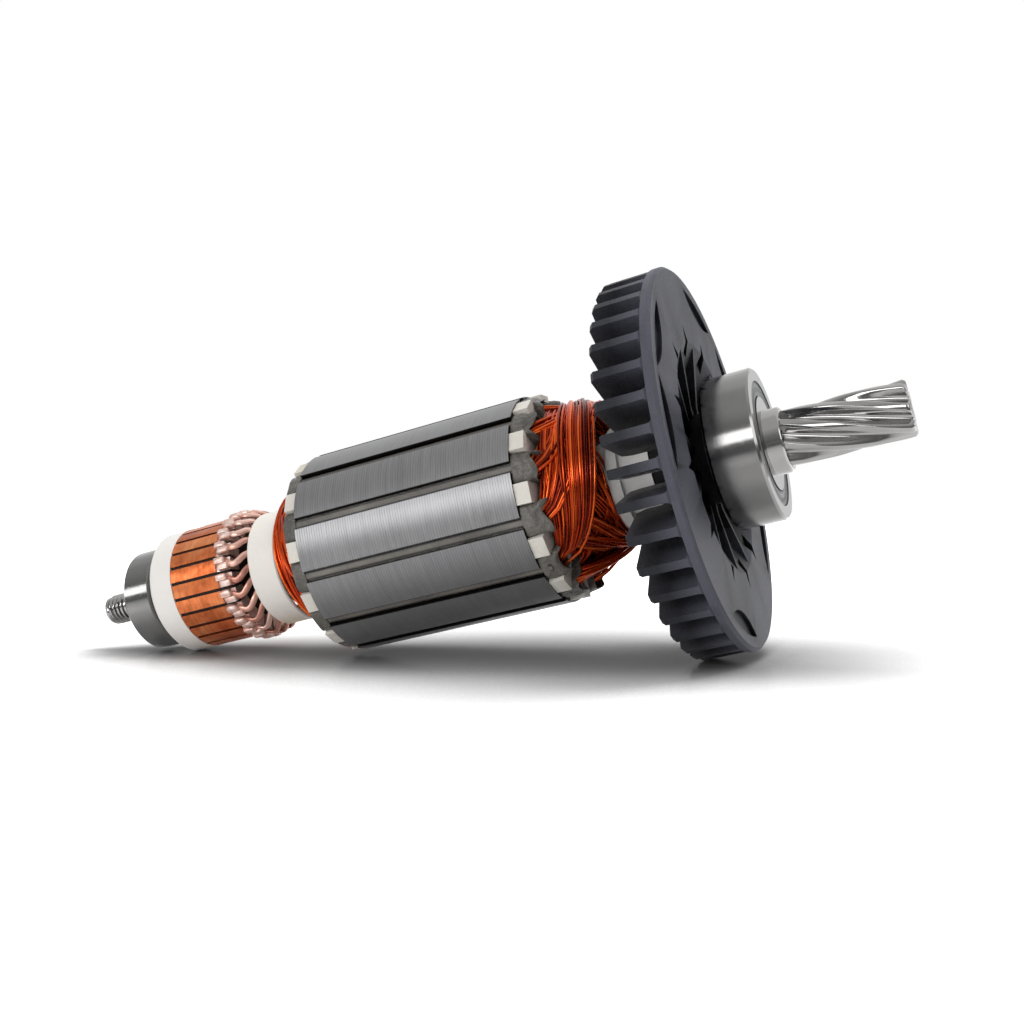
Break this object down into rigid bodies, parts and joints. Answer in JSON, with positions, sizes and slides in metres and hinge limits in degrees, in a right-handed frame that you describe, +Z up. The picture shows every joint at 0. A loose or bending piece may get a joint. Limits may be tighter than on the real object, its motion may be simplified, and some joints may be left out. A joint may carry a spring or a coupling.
{
  "type": "motor armature",
  "caption": "Wound motor armature on a shaft with a helical pinion, a bladed cooling fan, ball bearings at both ends and a commutator with hooked copper bars, lying at rest.",
  "frame": {"origin": "on the surface it lies on, at the middle of its outline seen from above", "axes": "+X along the floor toward the pinion end, +Y away from the side seen first, +Z up; the shaft rises toward +X by about 12 degrees"},
  "size_m": [0.2112, 0.0888, 0.0891],
  "materials": {
    "ground_steel": "ground, bright",
    "lamination_steel": "turned sheet-steel stack, satin",
    "insulator_white": "moulded, matt",
    "liner_paper": "varnished",
    "slot_strip": "varnished fibre",
    "winding_wire": "enamelled copper wire",
    "lead_wire": "fused, tinned copper",
    "band_white": "resin-bound cord band",
    "hub_resin": "moulded phenolic with mica",
    "washer_white": "moulded, smooth",
    "spacer_dark": "moulded",
    "collar_grey": "moulded, satin",
    "fan_plastic": "glass-filled nylon, satin",
    "bearing_steel": "ground, bright",
    "ball_steel": "polished",
    "cage_steel": "pressed",
    "seal_grey": "bonded rubber shield, satin",
    "bar_copper": "turned copper"
  },
  "bodies": {
    "rotor": {"shaft": "ground_steel", "core_stack": "lamination_steel", "core_insulation_tube": "insulator_white", "end_insulator_front": "insulator_white", "end_insulator_rear": "insulator_white", "slot_liners": "liner_paper", "slot_strips": "slot_strip", "armature_winding": "winding_wire", "lead_wires": "lead_wire", "lead_band": "band_white", "commutator_hub": "hub_resin", "commutator_washer": "washer_white", "rear_spacer": "spacer_dark", "fan_collar": "collar_grey", "fan": "fan_plastic", "front_bearing_inner_ring": "bearing_steel", "rear_bearing_inner_ring": "bearing_steel", "commutator_bar_01": "bar_copper", "commutator_bar_02": "bar_copper", "commutator_bar_03": "bar_copper", "commutator_bar_04": "bar_copper", "commutator_bar_05": "bar_copper", "commutator_bar_06": "bar_copper", "commutator_bar_07": "bar_copper", "commutator_bar_08": "bar_copper", "commutator_bar_09": "bar_copper", "commutator_bar_10": "bar_copper", "commutator_bar_11": "bar_copper", "commutator_bar_12": "bar_copper", "commutator_bar_13": "bar_copper", "commutator_bar_14": "bar_copper", "commutator_bar_15": "bar_copper", "commutator_bar_16": "bar_copper", "commutator_bar_17": "bar_copper", "commutator_bar_18": "bar_copper", "commutator_bar_19": "bar_copper", "commutator_bar_20": "bar_copper", "commutator_bar_21": "bar_copper", "commutator_bar_22": "bar_copper", "commutator_bar_23": "bar_copper", "commutator_bar_24": "bar_copper"},
    "front_bearing_outer": {"front_bearing_outer_ring": "bearing_steel", "front_bearing_seals": "seal_grey"},
    "front_bearing_cage_set": {"front_bearing_cage": "cage_steel", "front_bearing_balls": "ball_steel"},
    "rear_bearing_outer": {"rear_bearing_outer_ring": "bearing_steel", "rear_bearing_seals": "seal_grey"},
    "rear_bearing_cage_set": {"rear_bearing_cage": "cage_steel", "rear_bearing_balls": "ball_steel"}
  },
  "joints": [
    {"name": "front_bearing_spin", "type": "hinge", "parent": "rotor", "child": "front_bearing_outer", "pos_m": [0.06864, 0, 0.0473], "axis": [0.9778, 0, 0.2096], "continuous": true},
    {"name": "front_cage_spin", "type": "hinge", "parent": "rotor", "child": "front_bearing_cage_set", "pos_m": [0.06864, 0, 0.0473], "axis": [0.9778, 0, 0.2096], "continuous": true},
    {"name": "rear_bearing_spin", "type": "hinge", "parent": "rotor", "child": "rear_bearing_outer", "pos_m": [-0.08722, 0, 0.01388], "axis": [0.9778, 0, 0.2096], "continuous": true},
    {"name": "rear_cage_spin", "type": "hinge", "parent": "rotor", "child": "rear_bearing_cage_set", "pos_m": [-0.08722, 0, 0.01388], "axis": [0.9778, 0, 0.2096], "continuous": true}
  ],
  "couplings": [
    {"joint": "front_cage_spin", "follows": "front_bearing_spin", "ratio": 0.6166},
    {"joint": "rear_cage_spin", "follows": "rear_bearing_spin", "ratio": 0.6284}
  ]
}
